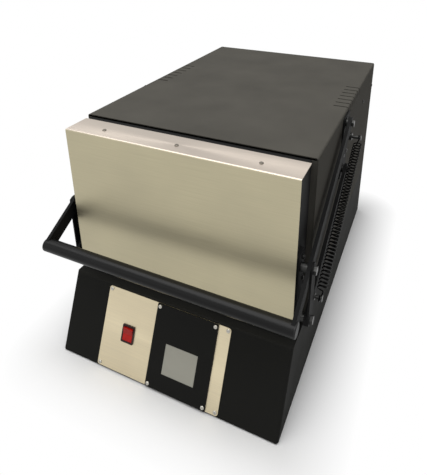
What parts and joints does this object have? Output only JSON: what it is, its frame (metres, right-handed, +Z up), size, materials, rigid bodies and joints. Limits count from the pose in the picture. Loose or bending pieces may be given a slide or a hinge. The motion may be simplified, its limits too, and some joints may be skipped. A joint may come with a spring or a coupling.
{
  "type": "ceramic kiln",
  "caption": "Front-loading table-top ceramic kiln with a firebrick chamber, a sloped control panel and an upright door lifted by a lever on a parallel linkage with springs.",
  "frame": {"origin": "on the floor, at the middle of the overall width and depth", "axes": "+Z up, -Y towards the door and the control panel, +X to the right seen from the front"},
  "size_m": [0.5234, 0.7734, 0.462],
  "materials": {
    "black_powder_coat": "satin powder coat with fine orange peel",
    "zinc_sheet": "galvanised sheet",
    "feet_rubber": "matte",
    "firebrick": "porous, matte",
    "door_firebrick": "porous, matte",
    "fibre_board": "fibrous, matte",
    "element_wire": "oxidised resistance wire",
    "white_ceramic": "unglazed",
    "panel_stainless": "fine brushed",
    "door_stainless": "fine brushed, soft reflections",
    "screw_steel": "bright",
    "black_screw": "black oxide",
    "controller_black": "matte film",
    "screen_grey": "grey display window",
    "switch_black": "moulded",
    "rocker_red": "translucent red, glossy",
    "circuit_board": "solder mask",
    "transformer_steel": "laminated core with winding",
    "relay_plastic": "moulded",
    "terminal_plastic": "moulded",
    "gland_nylon": "nylon",
    "bracket_black": "satin black",
    "bolt_steel": "dark zinc",
    "arm_black": "satin black",
    "handle_satin_black": "satin black",
    "cap_plastic": "moulded",
    "door_case_black": "satin black",
    "spring_steel": "oiled spring wire"
  },
  "bodies": {
    "body": {"base_box": "black_powder_coat", "base_floor": "zinc_sheet", "brick_back": "firebrick", "brick_floor": "firebrick", "brick_left": "firebrick", "brick_right": "firebrick", "brick_roof": "firebrick", "bulkhead": "zinc_sheet", "casing_floor": "black_powder_coat", "casing_shell": "black_powder_coat", "casing_side_screws": "black_screw", "control_plate": "panel_stainless", "control_plate_screws": "screw_steel", "controller_board": "circuit_board", "controller_face": "controller_black", "controller_screws": "screw_steel", "cord_gland": "gland_nylon", "display_screen": "screen_grey", "element_bushings": "white_ceramic", "feet": "feet_rubber", "fibre_board": "fibre_board", "front_frame": "black_powder_coat", "heating_element_left": "element_wire", "heating_element_right": "element_wire", "inner_jacket": "zinc_sheet", "lever_pivot_bolts": "bolt_steel", "link_pivot_bolts": "bolt_steel", "pivot_plate_bolts": "bolt_steel", "pivot_plate_left": "bracket_black", "pivot_plate_right": "bracket_black", "power_relay": "relay_plastic", "rear_cover": "black_powder_coat", "rear_cover_screws": "black_screw", "spring_anchors": "bolt_steel", "switch_housing": "switch_black", "terminal_block": "terminal_plastic", "thermocouple": "white_ceramic", "thermocouple_block": "white_ceramic", "transformer": "transformer_steel"},
    "lever": {"lever_arm_left": "arm_black", "lever_arm_right": "arm_black", "handle_bar": "handle_satin_black", "handle_caps": "cap_plastic"},
    "link_left": {"link_left": "arm_black", "spring_pin_left": "bolt_steel"},
    "link_right": {"link_right": "arm_black", "spring_pin_right": "bolt_steel"},
    "door": {"door_cover": "door_stainless", "door_case": "door_case_black", "door_insulation": "door_firebrick", "door_cover_screws": "screw_steel", "door_hanger_left": "bracket_black", "door_hanger_right": "bracket_black", "door_hanger_bolts": "bolt_steel", "door_straps": "bracket_black", "door_pivot_pins": "bolt_steel"},
    "spring_left": {"spring_left": "spring_steel"},
    "spring_right": {"spring_right": "spring_steel"},
    "rocker": {"rocker_paddle": "rocker_red"}
  },
  "joints": [
    {"name": "lever_lift", "type": "hinge", "parent": "body", "child": "lever", "pos_m": [0, -0.024, 0.441], "axis": [-1, 0, 0], "range_deg": [0, 70]},
    {"name": "link_left_swing", "type": "hinge", "parent": "body", "child": "link_left", "pos_m": [-0.2388, -0.024, 0.338], "axis": [-1, 0, 0], "range_deg": [0, 70]},
    {"name": "link_right_swing", "type": "hinge", "parent": "body", "child": "link_right", "pos_m": [0.2388, -0.024, 0.338], "axis": [-1, 0, 0], "range_deg": [0, 70]},
    {"name": "door_level", "type": "hinge", "parent": "lever", "child": "door", "pos_m": [0, -0.28589, 0.2898], "axis": [-1, 0, 0], "range_deg": [-70, 0]},
    {"name": "spring_left_swing", "type": "hinge", "parent": "body", "child": "spring_left", "pos_m": [-0.2525, 0.027, 0.39], "axis": [-1, 0, 0], "range_deg": [0, 58.5], "deforming": ["spring_left"]},
    {"name": "spring_right_swing", "type": "hinge", "parent": "body", "child": "spring_right", "pos_m": [0.2525, 0.027, 0.39], "axis": [-1, 0, 0], "range_deg": [0, 58.5], "deforming": ["spring_right"]},
    {"name": "rocker_press", "type": "hinge", "parent": "body", "child": "rocker", "pos_m": [-0.0855, -0.35177, 0.07365], "axis": [-1, 0, 0], "range_deg": [0, 16]}
  ],
  "couplings": [
    {"joint": "link_left_swing", "follows": "lever_lift", "ratio": 1},
    {"joint": "link_right_swing", "follows": "lever_lift", "ratio": 1},
    {"joint": "door_level", "follows": "lever_lift", "ratio": -1},
    {"joint": "spring_left_swing", "follows": "lever_lift", "ratio": 0.8351},
    {"joint": "spring_right_swing", "follows": "lever_lift", "ratio": 0.8351}
  ]
}
